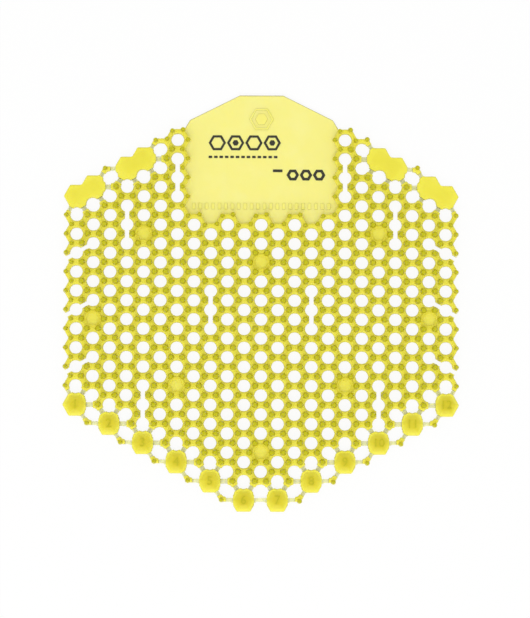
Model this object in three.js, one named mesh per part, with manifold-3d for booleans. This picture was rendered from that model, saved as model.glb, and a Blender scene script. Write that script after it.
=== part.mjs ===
// Urinal deodorizer screen: one thin sheet of soft scented rubber, moulded in one piece.
// It is a honeycomb of open cells with a peg at every place where walls meet, a plain tab at
// the top, and pads round the edge that are torn off one by one as time goes by.
// Millimetres. X runs across the sheet, Y up towards the tab, Z out of the splash face.
// The origin lies under the middle of the sheet, on the face that it rests on.

import * as THREE from 'three';
import { mergeGeometries, mergeVertices } from 'three/addons/utils/BufferGeometryUtils.js';
import Module from 'manifold-3d';

const COLUMN_PITCH = 8.0; // from one column of cells to the next
const CELL_PITCH = 9.04; // from one cell to the next down a column
const WALL_WIDTH = 3.28; // rubber between two neighbouring holes
const RIM_WIDTH = 2.35; // rubber between an outer hole and the edge of the sheet
const SHEET_THICKNESS = 2.9;
const PEG_HEIGHT = 3.3; // above the sheet

const PAD_GROWTH = 0.88; // how far a tear-off pad reaches past its own cell, to each side
const FIELD_INSET = 2.0; // from a pad's edge to its raised middle
const FIELD_HEIGHT = 1.2; // of a pad's raised middle, above the sheet

const SLOT_WIDTH = 2.15; // where a wall is left out between two holes

const TAB_THICKNESS = 1.5;
const TAB_TOP_WIDTH = 20.7; // straight top edge
const TAB_SLOPE_HEIGHT = 11.9; // from the shoulders up to the top edge
const TAB_SHOULDER_HEIGHT = 4.5; // from the cells beside the tab up to its shoulders
const TAB_SHOULDER_INSET = 2.66; // from the cells beside the tab in to its shoulders

// Cells are counted in whole columns from the middle and in half rows downwards, so a cell
// exists only where its column and its half row add up to an even number.
const OUTER_COLUMN = 11;
const ROWS_BELOW = 30; // half rows from row 0 down to where the two lower edges would meet
const ROWS_ABOVE = 14; // half rows from row 0 up to where the two upper edges would meet
const TAB_COLUMNS = 4; // the tab takes the place of the cells above row 0 in these columns

// Columns whose top cell is half of a double pad.
const DOUBLE_PAD_COLUMNS = [7, 8, 10, 11];

// Cells without a hole, as [column, half row], on both sides of the middle.
const FILLED_CELLS = [[7, 1], [0, 4], [10, 10], [5, 17], [0, 24]];

// Slots run through three cells in line: [column, half row] of the first, then the step to the
// next, on both sides of the middle. The last three run out through the edge of the sheet.
const SLOTS = [
  [8, -2, 0, 2], [5, -7, 0, 2], [3, 7, 0, 2], [7, 17, 0, 2],
  [10, 2, 1, 1], [10, 8, 1, 1], [10, 14, 1, 1],
];

// The steps from a cell to its six neighbours, anticlockwise from the one at the upper right.
const NEIGHBOUR_STEPS = [[1, -1], [0, -2], [-1, -1], [-1, 1], [0, 2], [1, 1]];
const SIDES = NEIGHBOUR_STEPS.map((step, side) => side);
const BOTTOM_SIDE = 4;

// How far a cutting solid sticks out of what it cuts.
const OVERCUT = 1;

const rimGrowth = RIM_WIDTH - WALL_WIDTH / 2;

function isEven(number) {
  return number % 2 === 0;
}

function topRow(column) {
  const distance = Math.abs(column);
  if (distance > TAB_COLUMNS) return distance - ROWS_ABOVE;
  return isEven(distance) ? 0 : 1;
}

function bottomRow(column) {
  return column === 0 ? ROWS_BELOW - 2 : ROWS_BELOW - Math.abs(column);
}

function isCell([column, row]) {
  if (Math.abs(column) > OUTER_COLUMN || !isEven(column + row)) return false;
  return row >= topRow(column) && row <= bottomRow(column);
}

function isPad([column, row]) {
  const distance = Math.abs(column);
  const isSingle = !isEven(distance) && row === bottomRow(column);
  const isDouble = DOUBLE_PAD_COLUMNS.includes(distance) && row === topRow(column);
  return isCell([column, row]) && (isSingle || isDouble);
}

function isFilled([column, row]) {
  return FILLED_CELLS.some(([c, r]) => c === Math.abs(column) && r === row);
}

function listCells() {
  const cells = [];
  for (let column = -OUTER_COLUMN; column <= OUTER_COLUMN; column++) {
    for (let row = topRow(column); row <= bottomRow(column); row += 2) cells.push([column, row]);
  }
  return cells;
}

function wrapSide(side) {
  return (side + SIDES.length) % SIDES.length;
}

function neighbour([column, row], side) {
  const [columnStep, rowStep] = NEIGHBOUR_STEPS[wrapSide(side)];
  return [column + columnStep, row + rowStep];
}

function cellCentre([column, row]) {
  return new THREE.Vector2(column * COLUMN_PITCH, -row * CELL_PITCH / 2);
}

// The line along one side of a cell, moved in by inset from the middle of the wall there.
function sideLine(cell, side, inset) {
  const centre = cellCentre(cell);
  const across = cellCentre(neighbour(cell, side)).sub(centre);
  const normal = across.clone().normalize();
  return { normal, distance: normal.dot(centre) + across.length() / 2 - inset };
}

function crossing(first, second) {
  const scale = first.normal.cross(second.normal);
  return new THREE.Vector2(
    (first.distance * second.normal.y - second.distance * first.normal.y) / scale,
    (second.distance * first.normal.x - first.distance * second.normal.x) / scale,
  );
}

// One corner of a cell. Corner 0 is the right-hand one, and they run anticlockwise; a corner
// lies between the side of its own number and the side before it.
function cellCorner(cell, corner, inset) {
  return crossing(sideLine(cell, corner - 1, inset), sideLine(cell, corner, inset));
}

function growth(cell) {
  return isPad(cell) ? PAD_GROWTH : rimGrowth;
}

// The edge of the whole sheet without its tab, anticlockwise, pads and all.
function sheetOutline() {
  const start = [0, bottomRow(0)];
  const points = [];
  let cell = start;
  let side = BOTTOM_SIDE;
  do {
    const next = neighbour(cell, side + 1);
    if (isCell(next)) {
      const line = sideLine(cell, side, -growth(cell));
      points.push(crossing(line, sideLine(next, side - 1, -growth(next))));
      cell = next;
      side = wrapSide(side - 1);
    } else {
      points.push(cellCorner(cell, side + 1, -growth(cell)));
      side = wrapSide(side + 1);
    }
  } while (cell[0] !== start[0] || cell[1] !== start[1] || side !== BOTTOM_SIDE);
  return points;
}

// A hole leaves half a wall on each side, but runs right up to a pad.
function holeOutline(cell) {
  const inset = (side) => (isPad(neighbour(cell, side)) ? PAD_GROWTH : WALL_WIDTH / 2);
  return SIDES.map((side) => {
    return crossing(sideLine(cell, side - 1, inset(side - 1)), sideLine(cell, side, inset(side)));
  });
}

function prism(points, bottom, top) {
  const shape = new THREE.Shape(points);
  const geometry = new THREE.ExtrudeGeometry(shape, { depth: top - bottom, bevelEnabled: false });
  return geometry.translate(0, 0, bottom);
}

const wasm = await Module();
wasm.setup();

// Turns geometries that don't touch each other into one solid.
function solid(geometries) {
  for (const geometry of geometries) {
    geometry.deleteAttribute('normal');
    geometry.deleteAttribute('uv');
  }
  const welded = mergeVertices(mergeGeometries(geometries), 1e-5);
  return new wasm.Manifold(new wasm.Mesh({
    numProp: 3,
    vertProperties: welded.attributes.position.array,
    triVerts: welded.index.array,
  }));
}

function toGeometry(manifold) {
  const mesh = manifold.getMesh();
  const geometry = new THREE.BufferGeometry();
  geometry.setAttribute('position', new THREE.BufferAttribute(mesh.vertProperties, 3));
  geometry.setIndex(new THREE.BufferAttribute(mesh.triVerts, 1));
  geometry.computeVertexNormals();
  return geometry;
}

// The cell beside the tab at its top right, and the tab's right-hand corners above it.
const cellBesideTab = [TAB_COLUMNS + 1, topRow(TAB_COLUMNS + 1)];
const tabFoot = cellCorner(cellBesideTab, 2, -rimGrowth);
const tabShoulder = new THREE.Vector2(-TAB_SHOULDER_INSET, TAB_SHOULDER_HEIGHT).add(tabFoot);
const tabTop = new THREE.Vector2(TAB_TOP_WIDTH / 2, tabShoulder.y + TAB_SLOPE_HEIGHT);

// The tab runs in between the faces of the cells beside and below it, up to their middles.
function makeTab() {
  const upper = cellCentre(cellBesideTab);
  const lower = cellCentre([cellBesideTab[0], 1]);
  const right = [lower, upper, tabFoot, tabShoulder, tabTop];
  const left = right.map((point) => new THREE.Vector2(-point.x, point.y)).reverse();
  return solid([prism([...right, ...left], 0, TAB_THICKNESS)]);
}

function makeHoles() {
  const open = listCells().filter((cell) => !isPad(cell) && !isFilled(cell));
  return solid(open.map((cell) => prism(holeOutline(cell), -OVERCUT, SHEET_THICKNESS + OVERCUT)));
}

function slotOutline(from, to) {
  const across = to.clone().sub(from).setLength(SLOT_WIDTH / 2);
  across.set(-across.y, across.x);
  return [
    from.clone().sub(across), to.clone().sub(across),
    to.clone().add(across), from.clone().add(across),
  ];
}

function makeSlots() {
  const bars = [-1, 1].flatMap((mirror) => SLOTS.map(([column, row, columnStep, rowStep]) => {
    const from = cellCentre([mirror * column, row]);
    const to = cellCentre([mirror * (column + 2 * columnStep), row + 2 * rowStep]);
    return prism(slotOutline(from, to), -OVERCUT, SHEET_THICKNESS + OVERCUT);
  }));
  return solid(bars);
}

// The raised middles of the single pads.
function makeFields() {
  const single = listCells().filter((cell) => isPad(cell) && cell[1] === bottomRow(cell[0]));
  return solid(single.map((cell) => {
    const outline = SIDES.map((side) => cellCorner(cell, side, FIELD_INSET - PAD_GROWTH));
    return prism(outline, SHEET_THICKNESS / 2, SHEET_THICKNESS + FIELD_HEIGHT);
  }));
}

// The three cells round a junction of walls, each with its corner there. The junction is the
// right-hand corner of the given cell where side is 1, and its left-hand corner where it is -1.
function cellsAtJunction([column, row], side) {
  const beside = column + side;
  if (side > 0) return [[[column, row], 0], [[beside, row - 1], 4], [[beside, row + 1], 2]];
  return [[[column, row], 3], [[beside, row + 1], 1], [[beside, row - 1], 5]];
}

// A peg is a three-sided point that fills its junction from hole to hole.
function peg(around) {
  const [firstCell, firstCorner] = around[0];
  const junction = cellCorner(firstCell, firstCorner, 0);
  const tip = [junction.x, junction.y, SHEET_THICKNESS + PEG_HEIGHT];
  const [a, b, c] = around.map(([cell, corner]) => {
    const point = cellCorner(cell, corner, isCell(cell) ? WALL_WIDTH / 2 : rimGrowth);
    return [point.x, point.y, SHEET_THICKNESS];
  });
  const faces = [a, b, c, b, a, tip, c, b, tip, a, c, tip];
  const geometry = new THREE.BufferGeometry();
  return geometry.setAttribute('position', new THREE.Float32BufferAttribute(faces.flat(), 3));
}

// One peg stands on every junction that has rubber round it, except at the pads.
function makePegs() {
  const pegs = [];
  for (let column = -OUTER_COLUMN - 1; column <= OUTER_COLUMN + 1; column++) {
    for (let row = -ROWS_ABOVE; row <= ROWS_BELOW + 1; row++) {
      if (!isEven(column + row)) continue;
      for (const side of [-1, 1]) {
        const around = cellsAtJunction([column, row], side);
        const real = around.map(([cell]) => cell).filter(isCell);
        if (real.length > 0 && !real.some(isPad)) pegs.push(peg(around));
      }
    }
  }
  return solid(pegs);
}

function makeScreen() {
  const sheet = solid([prism(sheetOutline(), 0, SHEET_THICKNESS)]);
  const pierced = sheet.add(makeTab()).subtract(makeHoles()).subtract(makeSlots());
  return pierced.add(makeFields()).add(makePegs());
}

const rubber = new THREE.MeshStandardMaterial({ color: 0xe8df52, roughness: 0.45, metalness: 0 });
const screen = new THREE.Mesh(toGeometry(makeScreen()), rubber);
screen.name = 'deodorizer_screen';

// The sheet's length runs from the tab's top edge to the lowest pads.
const lowestEdge = cellCorner([1, bottomRow(1)], BOTTOM_SIDE, -PAD_GROWTH).y;
screen.position.y = -(tabTop.y + lowestEdge) / 2;

const object = new THREE.Group();
object.add(screen);

export default object;
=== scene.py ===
# %% [markdown]
# # A urinal deodorizer screen
# The real thing is one thin sheet of soft scented rubber that lies in the bowl over the drain.
# It is a honeycomb of open cells with a peg where walls meet, a thin tab at the top, and pads
# round the edge that tear off as the weeks go by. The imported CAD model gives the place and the
# size of everything. This script makes the same sheet again with its soft, rounded forms.

import math

import bmesh
import bpy
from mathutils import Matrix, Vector


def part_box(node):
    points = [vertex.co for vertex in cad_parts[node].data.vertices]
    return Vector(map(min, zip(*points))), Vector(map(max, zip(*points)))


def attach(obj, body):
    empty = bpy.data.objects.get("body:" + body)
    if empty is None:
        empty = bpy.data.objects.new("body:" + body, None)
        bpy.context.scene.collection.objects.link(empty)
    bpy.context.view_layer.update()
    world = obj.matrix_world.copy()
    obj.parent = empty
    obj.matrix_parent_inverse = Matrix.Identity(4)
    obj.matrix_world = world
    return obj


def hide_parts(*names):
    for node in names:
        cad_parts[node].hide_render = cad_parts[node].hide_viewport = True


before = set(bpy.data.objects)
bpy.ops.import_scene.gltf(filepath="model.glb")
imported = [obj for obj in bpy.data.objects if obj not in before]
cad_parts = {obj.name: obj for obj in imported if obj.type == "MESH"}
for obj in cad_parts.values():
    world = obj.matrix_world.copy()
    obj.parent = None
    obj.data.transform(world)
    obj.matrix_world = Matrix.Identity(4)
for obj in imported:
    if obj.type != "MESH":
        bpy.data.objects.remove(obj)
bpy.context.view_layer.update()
MM = 0.001

# %% [markdown]
# ## The honeycomb as numbers
# A moulded grille like this is drawn from a few lengths, so the same lengths are written here
# once, in millimetres, and every piece is worked out from them. Cells are counted in whole
# columns from the middle and in half rows downwards, so a cell exists only where the two add
# up to an even number.

# %% Lengths of the sheet
COLUMN_PITCH = 8.0
CELL_PITCH = 9.04
HALF_WALL = 1.64
RIM = 0.71  # how far the sheet reaches past the middle line of an outer wall
PAD_GROWTH = 0.88  # how far a pad reaches past its own cell
SHEET_TOP = 2.9
TAB_TOP = 1.5
LINK_TOP = 0.8  # the thin links that the pads hang by
PEG_TOP = 6.2
FIELD_TOP = 4.1  # a pad's raised middle
PLUG_TOP = 2.55  # the floor of a cell without a hole

OUTER_COLUMN = 11
ROWS_BELOW = 30
ROWS_ABOVE = 14
TAB_COLUMNS = 4  # to each side of the middle one
TAB_SHOULDER = (-2.66, 4.5)  # from the cell beside the tab, inwards and up
TAB_HALF_TOP = 10.35
TAB_SLOPE = 11.9  # from the shoulders up to the top edge
DOUBLE_PADS = ((7, 8), (10, 11))  # the two columns of each, to either side
FILLED_CELLS = ((7, 1), (0, 4), (10, 10), (5, 17), (0, 24))  # column to either side, row
STEPS = ((1, -1), (0, -2), (-1, -1), (-1, 1), (0, 2), (1, 1))  # to the six neighbours


# %% Which cells there are
def top_row(column):
    distance = abs(column)
    return distance - ROWS_ABOVE if distance > TAB_COLUMNS else distance % 2


def bottom_row(column):
    return ROWS_BELOW - 2 if column == 0 else ROWS_BELOW - abs(column)


def is_cell(cell):
    column, row = cell
    inside = abs(column) <= OUTER_COLUMN and (column + row) % 2 == 0
    return inside and top_row(column) <= row <= bottom_row(column)


def is_single_pad(cell):
    return is_cell(cell) and cell[0] % 2 == 1 and cell[1] == bottom_row(cell[0])


def is_pad(cell):
    double = any(abs(cell[0]) in pair for pair in DOUBLE_PADS) and cell[1] == top_row(cell[0])
    return is_cell(cell) and (double or is_single_pad(cell))


def is_filled(cell):
    return (abs(cell[0]), cell[1]) in FILLED_CELLS


CELLS = [
    (column, row)
    for column in range(-OUTER_COLUMN, OUTER_COLUMN + 1)
    for row in range(top_row(column), bottom_row(column) + 1, 2)
]
print(len(CELLS), "cells,", sum(map(is_pad, CELLS)), "of them pads")


# %% Where the walls run
def neighbour(cell, side):
    step = STEPS[side % 6]
    return cell[0] + step[0], cell[1] + step[1]


def centre(cell):
    return Vector((cell[0] * COLUMN_PITCH, -cell[1] * CELL_PITCH / 2))


def side_line(cell, side, inset):
    """The line along one side of a cell, moved in from the middle of the wall there."""
    across = centre(neighbour(cell, side)) - centre(cell)
    normal = across.normalized()
    return normal, normal.dot(centre(cell)) + across.length / 2 - inset


def crossing(first, second):
    (a, p), (b, q) = first, second
    scale = a.cross(b)
    return Vector(((p * b.y - q * a.y) / scale, (q * a.x - p * b.x) / scale))


def corner(cell, number, inset=0.0):
    """Corner 0 is the right-hand one. A corner lies between its own side and the one before."""
    return crossing(side_line(cell, number - 1, inset), side_line(cell, number, inset))


# The tab's right-hand points, above the cell beside it, and the height of the sheet's middle.
tab_foot = corner((TAB_COLUMNS + 1, top_row(TAB_COLUMNS + 1)), 2, -RIM)
tab_shoulder = tab_foot + Vector(TAB_SHOULDER)
tab_end = Vector((TAB_HALF_TOP, tab_shoulder.y + TAB_SLOPE))
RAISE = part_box("deodorizer_screen")[1][1] / MM - tab_end.y
print("lattice row 0 lies", round(RAISE, 3), "mm above the middle of the sheet")

# %% [markdown]
# ## Soft corners
# Rubber flows round the pins of its mould and comes out with no sharp corner anywhere, so every
# outline is a polygon whose corners are turned to arcs. A Bevel modifier could do this too, but
# here each corner has its own radius, so the arcs are worked out. Each arc is a rational curve
# of the second degree, which is an exact piece of a circle.


# %% Round the corners of an outline
STRAIGHT = 0.02  # a corner that turns less than this, in radians, is left out


def rounded(corners, steps=3):
    """Turns (point, radius) pairs into the points of an outline with an arc at each corner."""
    points = []
    count = len(corners)
    for index, (point, radius) in enumerate(corners):
        back = corners[index - 1][0] - point
        ahead = corners[(index + 1) % count][0] - point
        turn = math.pi - back.angle(ahead)
        if turn < STRAIGHT:
            continue
        reach = min(radius * math.tan(turn / 2), back.length * 0.49, ahead.length * 0.49)
        start = point + back.normalized() * reach
        end = point + ahead.normalized() * reach
        for step in range(steps + 1):
            s = step / steps
            weight = math.cos(turn / 2)
            a, b, c = (1 - s) ** 2, 2 * s * (1 - s) * weight, s ** 2
            points.append((start * a + point * b + end * c) / (a + b + c))
    return points


# %% Outline the holes and the sheet
HOLE_RADIUS = 2.2
RIM_RADIUS = 2.2
NOOK_RADIUS = 1.2
PAD_RADIUS = 0.9


def hole_outline(cell):
    def inset(side):
        return PAD_GROWTH if is_pad(neighbour(cell, side)) else HALF_WALL

    lines = [side_line(cell, side, inset(side)) for side in range(6)]
    corners = [(crossing(lines[side - 1], lines[side]), HOLE_RADIUS) for side in range(6)]
    return rounded(corners, steps=2)


def growth(cell):
    return PAD_GROWTH if is_pad(cell) else RIM


def sheet_outline():
    """Walks anticlockwise round the outer cells, starting under the bottom one."""
    start = (0, bottom_row(0))
    cell, side, corners = start, 4, []
    while True:
        beyond = neighbour(cell, side + 1)
        if is_cell(beyond):
            line = side_line(cell, side, -growth(cell))
            point = crossing(line, side_line(beyond, side - 1, -growth(beyond)))
            corners.append((point, NOOK_RADIUS))
            cell, side = beyond, (side - 1) % 6
        else:
            radius = PAD_RADIUS if is_pad(cell) else RIM_RADIUS
            corners.append((corner(cell, side + 1, -growth(cell)), radius))
            side = (side + 1) % 6
        if cell == start and side == 4:
            return rounded(corners)


print("outline of", len(sheet_outline()), "points")


# %% [markdown]
# ## Plates with rounded edges
# Nearly everything here is a flat plate with a rounded edge. A 2D curve that is filled and
# extruded makes one straight from its outlines, and finds by itself which outlines are holes.
# Its bevel rounds the edge outwards, so the curve's offset first draws the outline in. The
# plates are closed, so that the Boolean modifier can join and cut them.

# %% Make plates with rounded edges
def to_object(name, mesh):
    piece = bpy.data.objects.new(name, mesh)
    bpy.context.scene.collection.objects.link(piece)
    return piece


def evaluated_mesh(piece):
    """The mesh that an object's curve settings or modifiers give, and the object is removed."""
    graph = bpy.context.evaluated_depsgraph_get()
    mesh = bpy.data.meshes.new_from_object(piece.evaluated_get(graph))
    bpy.data.objects.remove(piece)
    return mesh


def keep_depth(mesh, depth):
    """Writes on every face how many millimetres of rubber lie under it."""
    attribute = mesh.attributes.new("rubber_mm", "FLOAT", "FACE")
    attribute.data.foreach_set("value", [depth] * len(mesh.polygons))


def plate(name, outlines, bottom, top, edge, depth=SHEET_TOP):
    """Flat plates and holes. `edge` is the radius of their edges, `depth` the rubber's."""
    curve = bpy.data.curves.new(name, "CURVE")
    curve.dimensions = "2D"
    curve.fill_mode = "BOTH"
    for outline in outlines:
        spline = curve.splines.new("POLY")
        spline.points.add(len(outline) - 1)
        for point, place in zip(spline.points, outline):
            point.co = (*place, 0, 1)
        spline.use_cyclic_u = True
    curve.extrude = (top - bottom) / 2 - edge
    curve.bevel_depth = edge
    curve.bevel_resolution = 1
    curve.offset = -edge
    mesh = evaluated_mesh(to_object(name, curve))
    shape = bmesh.new()
    shape.from_mesh(mesh)
    bmesh.ops.translate(shape, verts=shape.verts, vec=(0, 0, (top + bottom) / 2))
    bmesh.ops.remove_doubles(shape, verts=shape.verts, dist=1e-4)
    bmesh.ops.recalc_face_normals(shape, faces=shape.faces)
    open_edges = sum(not line.is_manifold for line in shape.edges)
    shape.to_mesh(mesh)
    shape.free()
    keep_depth(mesh, depth)
    print(name, len(mesh.polygons), "faces,", open_edges, "open edges")
    return to_object(name, mesh)


def combine(piece, other, operation):
    """Joins or cuts two closed solids and leaves one."""
    modifier = piece.modifiers.new(operation, "BOOLEAN")
    modifier.operation = operation
    modifier.solver = "MANIFOLD"
    modifier.object = other
    name = piece.name
    mesh = evaluated_mesh(piece)
    bpy.data.objects.remove(other)
    return to_object(name, mesh)


# %% [markdown]
# ## The pierced sheet
# The sheet is one plate with a few hundred holes. They could be cut one by one, but a filled
# curve makes them all at once and rounds both rims of each. Light takes a shorter way through
# that rounding, and the rubber's material paints that rim paler by its slope, as painted light.
# A cell without a hole gets a plug that stops short of the top and a low ridge round it.

# %% Make the sheet
EDGE = 0.85  # radius of the sheet's edges
CUT_EDGE = 0.1  # the same for plates whose edges don't show
open_cells = [cell for cell in CELLS if not is_pad(cell)]
outlines = [sheet_outline()] + [hole_outline(cell) for cell in open_cells]
screen = plate("screen", outlines, 0, SHEET_TOP, EDGE)


def cell_outline(cell, inset, radius):
    return rounded([(corner(cell, number, inset), radius) for number in range(6)])


# %% Fill the cells without a hole
filled_cells = [cell for cell in CELLS if is_filled(cell)]
PLUG_INSET = 0.9  # less than half a wall, so that the plug ends inside the walls
plug_outlines = [cell_outline(cell, PLUG_INSET, 1) for cell in filled_cells]
plugs = plate("plugs", plug_outlines, 0, PLUG_TOP, CUT_EDGE, PLUG_TOP)
screen = combine(screen, plugs, "UNION")

COLLAR_TOP = SHEET_TOP + 0.45
COLLAR_INSETS = (0.3, 1.75)  # its outer and its inner outline
COLLAR_RADIUS = 1.2
COLLAR_EDGE = 0.3
collar_outlines = [
    cell_outline(cell, inset, COLLAR_RADIUS) for cell in filled_cells for inset in COLLAR_INSETS
]
collars = plate("collars", collar_outlines, SHEET_TOP - 0.9, COLLAR_TOP, COLLAR_EDGE)
screen = combine(screen, collars, "UNION")

# %% [markdown]
# ## The tab
# The tab is half as thick as the sheet. It is a plate of its own that runs in under the walls
# round it, with the cells beside it cut out a little inside their walls, so that no edge of it
# shows in a hole.

# %% Make the tab
TAB_EDGE = 0.65
BLEED = 1.0  # how far inside a hole's wall the tab ends
BLEED_RADIUS = 1.5
OVERCUT = 1  # how far a cutter reaches past what it cuts
column_beside = TAB_COLUMNS + 1
right = [  # each corner with its radius
    (centre((column_beside, 1)), 0.1), (centre((column_beside, top_row(column_beside))), 0.1),
    (tab_foot, 0.6), (tab_shoulder, 2.2), (tab_end, 1.2),
]
left = [(Vector((-point.x, point.y)), radius) for point, radius in reversed(right)]
tab = plate("tab", [rounded(right + left)], 0, TAB_TOP, TAB_EDGE, TAB_TOP)
near_tab = [cell for cell in open_cells if abs(cell[0]) <= column_beside and cell[1] <= 1]
bite_outlines = [cell_outline(cell, BLEED, BLEED_RADIUS) for cell in near_tab]
bites = plate("bites", bite_outlines, -OVERCUT, TAB_TOP + OVERCUT, CUT_EDGE)
screen = combine(screen, combine(tab, bites, "DIFFERENCE"), "UNION")

# %% [markdown]
# ## Slots
# Three holes in line are joined by slots, and some of these run out through the edge. They let
# the sheet bend to the bowl. Each slot is one long bar from the middle of its first hole to the
# middle of its last, cut right through.

# %% Cut the slots
SLOT_WIDTH = 2.15
SLOTS = (  # column and row of the first hole, and the step to the next
    (8, -2, 0, 2), (5, -7, 0, 2), (3, 7, 0, 2), (7, 17, 0, 2),
    (10, 2, 1, 1), (10, 8, 1, 1), (10, 14, 1, 1),
)


def bar_outline(start, end, width):
    along = (end - start).normalized()
    across = Vector((-along.y, along.x)) * width / 2
    return [start - across, end - across, end + across, start + across]


slot_outlines = []
for mirror in (-1, 1):
    for column, row, column_step, row_step in SLOTS:
        ends = [
            centre((mirror * (column + step * column_step), row + step * row_step))
            for step in (0, 2)
        ]
        slot_outlines.append(bar_outline(*ends, SLOT_WIDTH))
slots = plate("slots", slot_outlines, -OVERCUT, SHEET_TOP + OVERCUT, CUT_EDGE)
screen = combine(screen, slots, "DIFFERENCE")

# %% [markdown]
# ## The thin links of the pads
# At each corner of a pad the wall is moulded thin and narrow, so that the pad tears off there by
# hand. The walls were made whole, because that keeps the outline simple, and are now cut down:
# first from the top, then from both sides. The two halves of the sheet are cut one after the
# other, because the lowest two pads share a link and their cutters must not overlap.

# %% Thin the links
LINK_WIDTH = 2.3
WALL_CLEARANCE = 2.6  # from the middle of a wall, a little more than half its width
LINK_SPANS = {  # from the middle of the pad: where the thin part starts and ends
    "sideways": (5.0, 8.4), "slanting": (5.75, 8.0), "sideways double": (5.6, 8.2),
    "slanting double": (6.0, 8.0),
}


def links_of(pad):
    """Where a wall leaves a corner of a pad: the two ends of its thin part."""
    for number in range(6):
        around = [neighbour(pad, number - 1), neighbour(pad, number)]
        if any(map(is_pad, around)) or not any(map(is_cell, around)):
            continue
        away = (corner(pad, number) - centre(pad)).normalized()
        kind = "sideways" if number in (0, 3) else "slanting"
        start, end = LINK_SPANS[kind if is_single_pad(pad) else kind + " double"]
        if abs(pad[0]) == 1 and away.x * pad[0] < -0.9:
            end = COLUMN_PITCH + 0.1  # the link that the two lowest pads share
        yield centre(pad) + away * start, centre(pad) + away * end


def thin_links(piece, pads):
    """Cuts the top off every link of some pads, and then trims the link's two sides."""
    ends = [pair for pad in pads for pair in links_of(pad)]
    above = SHEET_TOP + OVERCUT
    over = [bar_outline(start, end, 2 * WALL_CLEARANCE) for start, end in ends]
    over_plate = plate("over", over, LINK_TOP, above, CUT_EDGE, LINK_TOP)
    trims = []
    for start, end in ends:
        along = (end - start).normalized()
        for across in (Vector((-along.y, along.x)), Vector((along.y, -along.x))):
            shift = across * (WALL_CLEARANCE + LINK_WIDTH / 2) / 2
            width = WALL_CLEARANCE - LINK_WIDTH / 2
            trims.append(bar_outline(start + shift, end + shift, width))
    trim_plate = plate("trims", trims, -OVERCUT, above, CUT_EDGE)
    return combine(combine(piece, over_plate, "DIFFERENCE"), trim_plate, "DIFFERENCE")


for side in (1, -1):
    screen = thin_links(screen, [cell for cell in CELLS if is_pad(cell) and cell[0] * side > 0])
print(sum(len(list(links_of(pad))) for pad in CELLS if is_pad(pad)), "links")

# %% [markdown]
# ## The pegs
# The pegs break up the splash. One stands on every meeting of walls that isn't at a pad. Each is
# a slim taper with a flared foot and a blunt tip, as it must be to pull out of its mould. A
# Screw modifier could turn one from its profile, but with hundreds of them it is quicker to
# stack rings of points, and the same helper then makes the soft domes of the pads.

# %% Find where the pegs stand
OUTER_PEG = 0.74  # how slim a peg at the edge of the sheet is beside the others


def peg_places():
    for column in range(-OUTER_COLUMN - 1, OUTER_COLUMN + 2):
        for row in range(-ROWS_ABOVE, ROWS_BELOW + 2):
            if (column + row) % 2:
                continue
            for side, numbers in ((1, (0, 4, 2)), (-1, (3, 1, 5))):
                around = [(column, row), (column + side, row - 1), (column + side, row + 1)]
                real = [cell for cell in around if is_cell(cell)]
                if real and not any(map(is_pad, real)):
                    spots = [
                        corner(cell, number, HALF_WALL if is_cell(cell) else RIM)
                        for cell, number in zip(around, numbers)
                    ]
                    slimness = 1 if len(real) == 3 else OUTER_PEG
                    yield sum(spots, Vector((0, 0))) / 3, slimness


print(len(list(peg_places())), "places for a peg")

# %% Stack the pegs
PEG_SIDES = 10
PEG_PROFILE = (  # radius and height
    (1.3, SHEET_TOP - 1), (1.75, SHEET_TOP - 0.1), (1.42, SHEET_TOP + 0.5), (1.2, PEG_TOP - 1),
    (1.02, PEG_TOP - 0.2), (0.7, PEG_TOP),
)


def circle(place, radius):
    angles = [math.tau * number / PEG_SIDES for number in range(PEG_SIDES)]
    return [place + Vector((math.cos(a), math.sin(a))) * radius for a in angles]


def stacked(name, forms):
    """Closed forms, each from rings of points at rising heights, as one object."""
    shape = bmesh.new()
    for form in forms:
        rings = [[shape.verts.new((*spot, height)) for spot in ring] for ring, height in form]
        for low, high in zip(rings, rings[1:]):
            for number in range(len(low)):
                before = low[number - 1], high[number - 1]
                shape.faces.new((before[0], low[number], high[number], before[1]))
        shape.faces.new(reversed(rings[0]))
        shape.faces.new(rings[-1])
    mesh = bpy.data.meshes.new(name)
    shape.to_mesh(mesh)
    shape.free()
    keep_depth(mesh, SHEET_TOP)
    print(name, len(forms), "forms,", len(mesh.polygons), "faces")
    return to_object(name, mesh)


pegs = [
    [(circle(place, radius * slimness), height) for radius, height in PEG_PROFILE]
    for place, slimness in peg_places()
]
screen = combine(screen, stacked("pegs", pegs), "UNION")

# %% [markdown]
# ## The soft middles of the pads
# A pad is thickest in its middle, where its colour is deepest. Its top swells softly and has no
# edge to be seen, so it is a stack of outlines that grow smaller as they rise. The double pads
# swell much less, along the line from one of their two cells to the other.

# %% Raise the middles of the single pads
DOME_RADIUS = 1.2  # of the corners
PAD_DOME = (  # how far inside the pad, and how high
    (0.1, SHEET_TOP - 0.8), (0.1, SHEET_TOP + 0.05), (0.8, SHEET_TOP + 0.5),
    (1.6, SHEET_TOP + 0.85), (2.4, FIELD_TOP - 0.1), (3.0, FIELD_TOP),
)
domes = [
    [(cell_outline(cell, inset, DOME_RADIUS), height) for inset, height in PAD_DOME]
    for cell in CELLS if is_single_pad(cell)
]
screen = combine(screen, stacked("domes", domes), "UNION")

# %% Raise the middles of the double pads
LONG_DOME = (  # how wide, and how high
    (7.4, SHEET_TOP - 0.8), (7.4, SHEET_TOP + 0.05), (6.2, SHEET_TOP + 0.15),
    (4.8, SHEET_TOP + 0.22), (3.4, SHEET_TOP + 0.25),
)


def long_outline(side, columns, width):
    ends = [centre((side * column, top_row(column))) for column in columns]
    along = (ends[1] - ends[0]).normalized() * (width - 2) / 2
    outline = bar_outline(ends[0] - along, ends[1] + along, width)
    return rounded([(spot, width / 4) for spot in outline])


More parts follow.
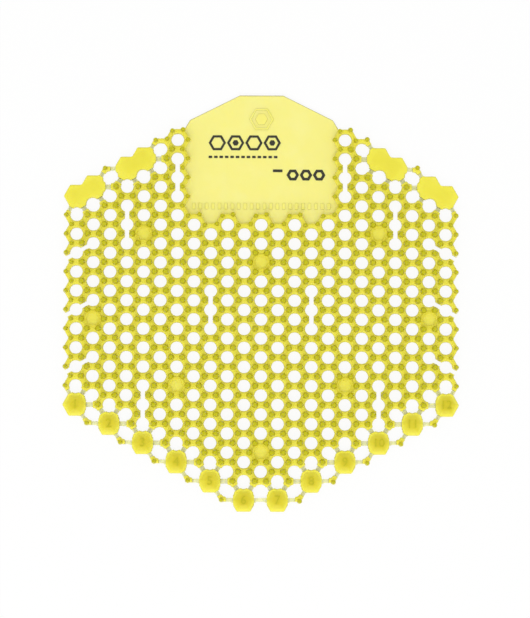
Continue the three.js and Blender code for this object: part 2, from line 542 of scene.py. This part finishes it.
long_domes = [
    [(long_outline(side, columns, width), height) for width, height in LONG_DOME]
    for side in (1, -1) for columns in DOUBLE_PADS
]
screen = combine(screen, stacked("long domes", long_domes), "UNION")

# %% [markdown]
# ## Raised marks
# A mould leaves its engraving on the tab as low flat marks. Here they are plain: a hexagon in a
# ring at the top and a row of ribs along the lower edge. They are thin plates with their feet
# sunk in the tab, so that the join is clean.

# %% Raise the marks on the tab
MARK_TOP = TAB_TOP + 0.35
MARK_EDGE = 0.12
TOP_MARK = Vector((0, 50.8))
TOP_MARK_HEIGHTS = (10.2, 8.4, 5.2)  # the ring's outside and inside, and the hexagon
RIB_COUNT = 22
RIB_ENDS = (7.5, 10.4)
RIB_WIDTH = 1.5
RIB_ROW = 64.4  # from the middle of the first rib to that of the last


def hexagon(place, height, radius):
    """A hexagon that stands as the cells do, with a flat top. Its height is across the flats."""
    reach = height / math.sqrt(3)
    angles = [math.radians(60 * number) for number in range(6)]
    spots = [place + Vector((math.cos(a), math.sin(a))) * reach for a in angles]
    return rounded([(spot, radius) for spot in spots])


mark_outlines = [hexagon(TOP_MARK, height, 0.3) for height in TOP_MARK_HEIGHTS]
for number in range(RIB_COUNT):
    x = -RIB_ROW / 2 + RIB_ROW * number / (RIB_COUNT - 1)
    mark_outlines.append(bar_outline(*(Vector((x, y)) for y in RIB_ENDS), RIB_WIDTH))
marks = plate("raised marks", mark_outlines, TAB_TOP - 0.5, MARK_TOP, MARK_EDGE, TAB_TOP)
screen = combine(screen, marks, "UNION")

# %% [markdown]
# ## One piece
# The real sheet is moulded in one piece. Where the faces of two solids all but meet, though, the
# joins leave a few loose crumbs. They are the faces that don't hang together with the rest, so
# those are looked for and deleted, whatever their size.

# %% Keep the one piece
def hanging_together(shape):
    """The groups of faces that are joined to each other by their edges."""
    left = set(shape.faces)
    while left:
        front = [left.pop()]
        group = list(front)
        while front:
            around = {face for line in front.pop().edges for face in line.link_faces}
            new = around & left
            left -= new
            front += new
            group += new
        yield group


shape = bmesh.new()
shape.from_mesh(screen.data)
groups = sorted(hanging_together(shape), key=len)
loose = [face for group in groups[:-1] for face in group]
longest = max((line.calc_length() for face in loose for line in face.edges), default=0)
print(len(groups) - 1, "crumbs of", len(loose), "faces, the longest", round(longest, 3), "mm")
bmesh.ops.delete(shape, geom=loose, context="FACES")
shape.to_mesh(screen.data)
shape.free()

# %% [markdown]
# ## One skin, in metres
# The joins were made in millimetres, where the numbers are easy to read. Now the skin is scaled
# to metres and moved to its place on the CAD model. Each join kept on every face how thick the
# rubber is there, which the colour needs later. Smooth shading rounds the edges, and weighted
# normals keep the broad faces flat.

# %% Scale the skin
SHARP_ANGLE = 50  # degrees: an edge that turns more stays sharp


def to_metres(piece):
    """Takes a finished piece from the honeycomb's millimetres to the model's place."""
    shape = bmesh.new()
    shape.from_mesh(piece.data)
    bmesh.ops.translate(shape, verts=shape.verts, vec=(0, RAISE, 0))
    bmesh.ops.scale(shape, verts=shape.verts, vec=(MM, MM, MM))
    shape.to_mesh(piece.data)
    triangles = sum(len(face.verts) - 2 for face in shape.faces)
    open_edges = sum(not line.is_manifold for line in shape.edges)
    print(piece.name + ":", triangles, "triangles,", open_edges, "open edges")
    shape.free()
    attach(piece, "root")
    return piece


depths = [item.value for item in screen.data.attributes["rubber_mm"].data]
print("depths kept:", sorted({round(depth, 2) for depth in depths}))
to_metres(screen)
screen.data.shade_smooth()
screen.data.set_sharp_from_angle(angle=math.radians(SHARP_ANGLE))
screen.modifiers.new("flat tops", "WEIGHTED_NORMAL").keep_sharp = True
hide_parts("deodorizer_screen")

# %% [markdown]
# ## The rubber
# The real material is ethylene-vinyl acetate with scent and a yellow dye in it, injection
# moulded. It is clear enough that its colour deepens with its thickness: pale on the thin tab,
# full yellow on the walls and olive on the pegs. True see-through rubber would be slow to
# render and would not survive export, so the colour is looked up by thickness instead.

# %% A node helper and colours
def to_linear(code):
    channels = [int(code[i:i + 2], 16) / 255 for i in (0, 2, 4)]
    return [c / 12.92 if c <= 0.04045 else ((c + 0.055) / 1.055) ** 2.4 for c in channels] + [1]


def add(tree, kind, links=None, **settings):
    """Adds a node. Plain settings are properties, and links fill sockets by name or number."""
    node = tree.nodes.new(kind)
    for name, value in settings.items():
        setattr(node, name, value)
    for socket, value in (links or {}).items():
        if isinstance(value, bpy.types.NodeSocket):
            tree.links.new(value, node.inputs[socket])
        else:
            node.inputs[socket].default_value = value
    return node


def new_material(name):
    material = bpy.data.materials.new(name)
    material.use_nodes = True
    material.node_tree.nodes.clear()
    return material, material.node_tree


EVA_BY_THICKNESS = (  # millimetres and colour
    (0.0, "FFFEE4"), (0.8, "F9F8C0"), (1.5, "F6EE8B"), (2.5, "F2EA5E"), (2.9, "EFE74C"),
    (4.1, "D8CA22"), (6.2, "BFBB02"),
)
THICKEST = 6.4
print(len(EVA_BY_THICKNESS), "colours from", EVA_BY_THICKNESS[0][1], "to", EVA_BY_THICKNESS[-1][1])

# %% [markdown]
# ## The colour by thickness, with painted light and shade
# Light that leaves through a sloping face has come another way than straight up, and this is
# painted into the colour by the slope of the face: the rounded rims at the sheet's top, as round
# each hole, are painted paler, and the sides of the pegs are painted darker. At the free edge of
# the thin tab the light is bent away, so a fine dark line of painted shade is mixed in there, and
# a faint one on other steep faces. A slow noise stands for the uneven mix of the melt.

# %% Mix the rubber
# Painted light and shade by slope: steep faces get a made-up thickness, less at the sheet's top so
# that the rims of holes are painted paler, and more above it so that the sides of pegs are painted
# darker.
SLOPE = {1: 0.95, 2: 0.2, 3: 0.0, 4: 1.0}  # from a level face to a steep one
PAINTED_LIGHT_BY_SLOPE = {1: 2.9, 2: 3.6, 3: -1.3, 4: 1.6}  # millimetres at the sheet's top and above it
# Painted shade at edges: steep faces are mixed toward a dark olive, fully on the thin tab and a
# fifth as much on the thicker walls and pegs.
PAINTED_EDGE_SLOPE = {1: 0.97, 2: 0.5, 3: 0.0}
PAINTED_EDGE_SHADE = {1: 1.6, 2: 2.8, 3: 1.0, 4: 0.2}  # how dark the edge is on the tab and on the walls
MIX_DRIFT = {1: 0.3, 2: 0.7, 3: 0.95, 4: 1.05}
MELT_SCALE = 90.0  # patches about 11 mm across
GRAIN_SCALE = 2500.0  # about 0.4 mm, the mould's fine texture


def moulded_eva():
    material, tree = new_material("moulded_eva")
    place = add(tree, "ShaderNodeTexCoord").outputs["Object"]
    height = add(tree, "ShaderNodeSeparateXYZ", {0: place}).outputs["Z"]
    height_mm = add(tree, "ShaderNodeMath", {0: height, 1: 1000}, operation="MULTIPLY")
    plate_mm = add(tree, "ShaderNodeAttribute", attribute_name="rubber_mm").outputs["Fac"]
    depth = add(tree, "ShaderNodeMath", {
        0: height_mm.outputs[0], 1: plate_mm,
    }, operation="MAXIMUM").outputs[0]
    normal = add(tree, "ShaderNodeNewGeometry").outputs["Normal"]
    upright = add(tree, "ShaderNodeSeparateXYZ", {0: normal}).outputs["Z"]
    level = add(tree, "ShaderNodeMath", {0: upright}, operation="ABSOLUTE").outputs[0]
    # The slope term below is painted light and shade, not real thickness: it pales the rims of
    # holes and darkens the sides of pegs.
    steep = add(tree, "ShaderNodeMapRange", {"Value": level, **SLOPE})
    slope_light = add(tree, "ShaderNodeMapRange", {"Value": depth, **PAINTED_LIGHT_BY_SLOPE})
    depth_and_painted_light = add(tree, "ShaderNodeMath", {
        0: steep.outputs[0], 1: slope_light.outputs[0], 2: depth,
    }, operation="MULTIPLY_ADD")
    melt = add(tree, "ShaderNodeTexNoise", {"Vector": place, "Scale": MELT_SCALE, "Detail": 3.0})
    drift = add(tree, "ShaderNodeMapRange", {"Value": melt.outputs["Fac"], **MIX_DRIFT})
    total = add(tree, "ShaderNodeMath", {
        0: depth_and_painted_light.outputs[0], 1: drift.outputs[0],
    }, operation="MULTIPLY")
    share = add(tree, "ShaderNodeMath", {0: total.outputs[0], 1: THICKEST}, operation="DIVIDE")
    ramp = add(tree, "ShaderNodeValToRGB", {0: share.outputs[0]})
    stops = ramp.color_ramp.elements
    for number, (thick, code) in enumerate(EVA_BY_THICKNESS):
        stop = stops[number] if number < 2 else stops.new(thick / THICKEST)
        stop.position = thick / THICKEST
        stop.color = to_linear(code)
    # A fine dark line of painted shade: steep faces are mixed toward dark olive 8C8430, most on
    # the thin tab.
    edge_shade_strength = add(tree, "ShaderNodeMapRange", {"Value": depth, **PAINTED_EDGE_SHADE})
    edge = add(tree, "ShaderNodeMapRange", {
        "Value": level, **PAINTED_EDGE_SLOPE, 4: edge_shade_strength.outputs[0],
    })
    colour_with_edge_shade = add(tree, "ShaderNodeMix", {
        "Factor": edge.outputs[0], 6: ramp.outputs["Color"], 7: to_linear("8C8430"),
    }, data_type="RGBA")
    grain = add(tree, "ShaderNodeTexNoise", {
        "Vector": place, "Scale": GRAIN_SCALE, "Detail": 2.0,
    })
    bump = add(tree, "ShaderNodeBump", {
        "Height": grain.outputs["Fac"], "Strength": 0.15, "Distance": 0.00005,
    })
    surface = add(tree, "ShaderNodeBsdfPrincipled", {
        "Base Color": colour_with_edge_shade.outputs[2], "Normal": bump.outputs[0],
        "Roughness": 0.38, "IOR": 1.48, "Specular IOR Level": 0.3,
        "Subsurface Weight": 0.5, "Subsurface Radius": (1.0, 0.9, 0.35),
        "Subsurface Scale": 0.0015,
    })
    add(tree, "ShaderNodeOutputMaterial", {"Surface": surface.outputs[0]})
    return material


eva = moulded_eva()
screen.data.materials.clear()
screen.data.materials.append(eva)
print(eva.name, "has", len(eva.node_tree.nodes), "nodes")

# %% [markdown]
# ## Print on the tab
# The tab is pad printed with plain black hexagons, dashes and a bar. Printing ink lies on the
# rubber as a film, so each mark is a very thin plate that is sunk a little in the tab.

# %% Print the tab
INK_TOP = TAB_TOP + 0.06
INK_SUNK = 0.02
INK_RADIUS = 0.2  # of a hexagon's corners
RING_PITCH = 8.75
RING_HEIGHTS = (7.2, 5.0)  # outside and inside
DOT_HEIGHT = 2.6
SMALL_RING_PITCH = 6.3
SMALL_RING_HEIGHTS = (5.2, 2.6)
DASH_PITCH = 2.6
DASH = (1.7, 1.1)
BAR = (4.6, 1.3)


def bar(place, width, height, radius=0.15):
    halves = ((1, -1), (1, 1), (-1, 1), (-1, -1))
    spots = [place + Vector((x * width / 2, y * height / 2)) for x, y in halves]
    return rounded([(spot, radius) for spot in spots])


print_outlines = []
for number in range(4):
    spot = Vector((-21.1 + RING_PITCH * number, 39.4))
    print_outlines += [hexagon(spot, height, INK_RADIUS) for height in RING_HEIGHTS]
    if number % 2:
        print_outlines.append(hexagon(spot, DOT_HEIGHT, INK_RADIUS))
for number in range(13):
    print_outlines.append(bar(Vector((-24.4 + DASH_PITCH * number, 32.6)), *DASH))
print_outlines.append(bar(Vector((7.8, 26.0)), *BAR))
for number in range(3):
    spot = Vector((15.0 + SMALL_RING_PITCH * number, 24.0))
    print_outlines += [hexagon(spot, height, INK_RADIUS) for height in SMALL_RING_HEIGHTS]
tab_print = to_metres(plate("tab_print", print_outlines, TAB_TOP - INK_SUNK, INK_TOP, 0.02))

# %% [markdown]
# ## The ink
# Pad printing ink dries to a dull film. It is not quite black, and a fine noise makes it cover
# a little unevenly, as it does on a soft surface.

# %% Mix the ink
INK_GRAIN = 1400.0  # about 0.7 mm


def pad_printing_ink():
    material, tree = new_material("pad_printing_ink")
    place = add(tree, "ShaderNodeTexCoord").outputs["Object"]
    cover = add(tree, "ShaderNodeTexNoise", {"Vector": place, "Scale": INK_GRAIN, "Detail": 3.0})
    black = add(tree, "ShaderNodeValToRGB", {0: cover.outputs["Fac"]})
    black.color_ramp.elements[0].color = to_linear("1C1B10")
    black.color_ramp.elements[1].color = to_linear("34321C")
    surface = add(tree, "ShaderNodeBsdfPrincipled", {
        "Base Color": black.outputs["Color"], "Roughness": 0.55, "IOR": 1.5,
    })
    add(tree, "ShaderNodeOutputMaterial", {"Surface": surface.outputs[0]})
    return material


tab_print.data.materials.append(pad_printing_ink())
print("ink on", len(print_outlines), "outlines")

# %% [markdown]
# ## Numbers on the pads
# Pads that are torn off one by one are numbered, so that whoever looks after the bowl can see
# how long the sheet has lain there. The numbers stand a little proud of the pads, in the same
# rubber, as the mould's engraving leaves them.

# %% Raise the numbers
NUMBER_HEIGHT = 4.6
HEIGHT_TO_SIZE = 1.25  # the font's size is more than the height of its digits
NUMBER_DEPTH = FIELD_TOP + 1.2  # of rubber, for a colour that shows on the pad
single_pads = [cell for cell in CELLS if is_single_pad(cell)]
numbers = bmesh.new()
for count, pad in enumerate(sorted(single_pads), start=1):
    text = bpy.data.curves.new("number", "FONT")
    text.body = str(count)
    text.size = NUMBER_HEIGHT * HEIGHT_TO_SIZE
    text.align_x = "CENTER"
    text.align_y = "CENTER"
    text.resolution_u = 3
    text.extrude = 0.18
    digits = evaluated_mesh(to_object("number", text))
    spot = centre(pad)
    before = len(numbers.verts)
    numbers.from_mesh(digits)
    added = list(numbers.verts)[before:]
    bmesh.ops.translate(numbers, verts=added, vec=(spot.x, spot.y, FIELD_TOP))
bmesh.ops.remove_doubles(numbers, verts=numbers.verts, dist=1e-4)
number_mesh = bpy.data.meshes.new("pad_numbers")
numbers.to_mesh(number_mesh)
numbers.free()
keep_depth(number_mesh, NUMBER_DEPTH)
pad_numbers = to_metres(to_object("pad_numbers", number_mesh))
pad_numbers.data.materials.append(eva)

# %% [markdown]
# ## The table
# The sheet lies on a white table, and the picture has the clean white ground of a catalogue. A
# table that is only lit would come out grey, so it also glows, but only to the camera and in
# reflections. The share that doesn't glow still takes the sheet's soft shadow. Its underside is
# clear, so that the sheet can also be looked at from below.

# %% Lay the table
TABLE_HALF = 3
TABLE_GAP = 0.0002  # below the sheet, so that the two faces don't meet
GLOW_SHARE = 0.9
floor_mesh = bpy.data.meshes.new("table")
spots = [(x * TABLE_HALF, y * TABLE_HALF, 0) for x, y in ((-1, -1), (1, -1), (1, 1), (-1, 1))]
floor_mesh.from_pydata(spots, [], [(0, 1, 2, 3)])
table = to_object("table", floor_mesh)
table.location.z = -TABLE_GAP

white, tree = new_material("white_table")
rays = add(tree, "ShaderNodeLightPath").outputs
seen = rays["Is Camera Ray"]
for kind in ("Is Glossy Ray", "Is Transmission Ray"):
    seen = add(tree, "ShaderNodeMath", {0: seen, 1: rays[kind]}, operation="MAXIMUM").outputs[0]
share = add(tree, "ShaderNodeMath", {0: seen, 1: GLOW_SHARE}, operation="MULTIPLY").outputs[0]
paper = add(tree, "ShaderNodeBsdfDiffuse", {"Color": to_linear("F4F4F2")}).outputs[0]
glow = add(tree, "ShaderNodeEmission", {"Color": (1, 1, 1, 1), "Strength": 1.0}).outputs[0]
top = add(tree, "ShaderNodeMixShader", {0: share, 1: paper, 2: glow}).outputs[0]
under = add(tree, "ShaderNodeNewGeometry").outputs["Backfacing"]
clear = add(tree, "ShaderNodeBsdfTransparent").outputs[0]
one_sided = add(tree, "ShaderNodeMixShader", {0: under, 1: top, 2: clear})
add(tree, "ShaderNodeOutputMaterial", {"Surface": one_sided.outputs[0]})
table.data.materials.append(white)
print("table:", 2 * TABLE_HALF, "m square")

# %% [markdown]
# ## The light
# Nearly all the light comes evenly from the world, as in a light tent. One large soft lamp
# beyond the lower edge adds a little, and leaves the far side of each wall and peg a touch
# darker, which gives them their form.

# %% Light it
SKY_ON_OBJECT = 0.92
SKY_SEEN = 1.0
world = bpy.data.worlds.new("studio")
world.use_nodes = True
tree = world.node_tree
tree.nodes.clear()
seen = add(tree, "ShaderNodeLightPath").outputs["Is Camera Ray"]
strength = add(tree, "ShaderNodeMapRange", {"Value": seen, 3: SKY_ON_OBJECT, 4: SKY_SEEN})
sky = add(tree, "ShaderNodeBackground", {
    "Color": (1, 1, 1, 1), "Strength": strength.outputs[0],
})
add(tree, "ShaderNodeOutputWorld", {"Surface": sky.outputs[0]})
bpy.context.scene.world = world

lamp = bpy.data.lights.new("softbox", "AREA")
lamp.shape = "RECTANGLE"
lamp.size, lamp.size_y = 1.6, 0.8
lamp.energy = 8
softbox = to_object("softbox", lamp)
softbox.location = (-0.25, -1.25, 1.1)
aim = (Vector((0, 0, 0)) - softbox.location).to_track_quat("-Z", "Y")
softbox.rotation_euler = aim.to_euler()
print("softbox:", lamp.energy, "W,", round(softbox.location.length, 2), "m from the sheet")

# %% [markdown]
# ## The camera
# The picture was taken from nearly straight above. The lens, the place and the slight tilt were
# fitted to the centres of the holes over the whole sheet.

# %% Stand the camera over it
CAMERA_PLACE = (-0.00305, -0.07899, 1.2)
CAMERA_TILT = (3.623, -0.248, 0.167)  # degrees
lens = bpy.data.cameras.new("camera")
lens.sensor_width = 36
lens.lens = 146.91
lens.clip_end = 20
camera = to_object("camera", lens)
camera.location = CAMERA_PLACE
camera.rotation_euler = [math.radians(angle) for angle in CAMERA_TILT]
bpy.context.scene.camera = camera
bpy.context.scene.view_settings.view_transform = "Standard"
print("camera:", CAMERA_PLACE[2], "m up, lens", lens.lens, "mm")
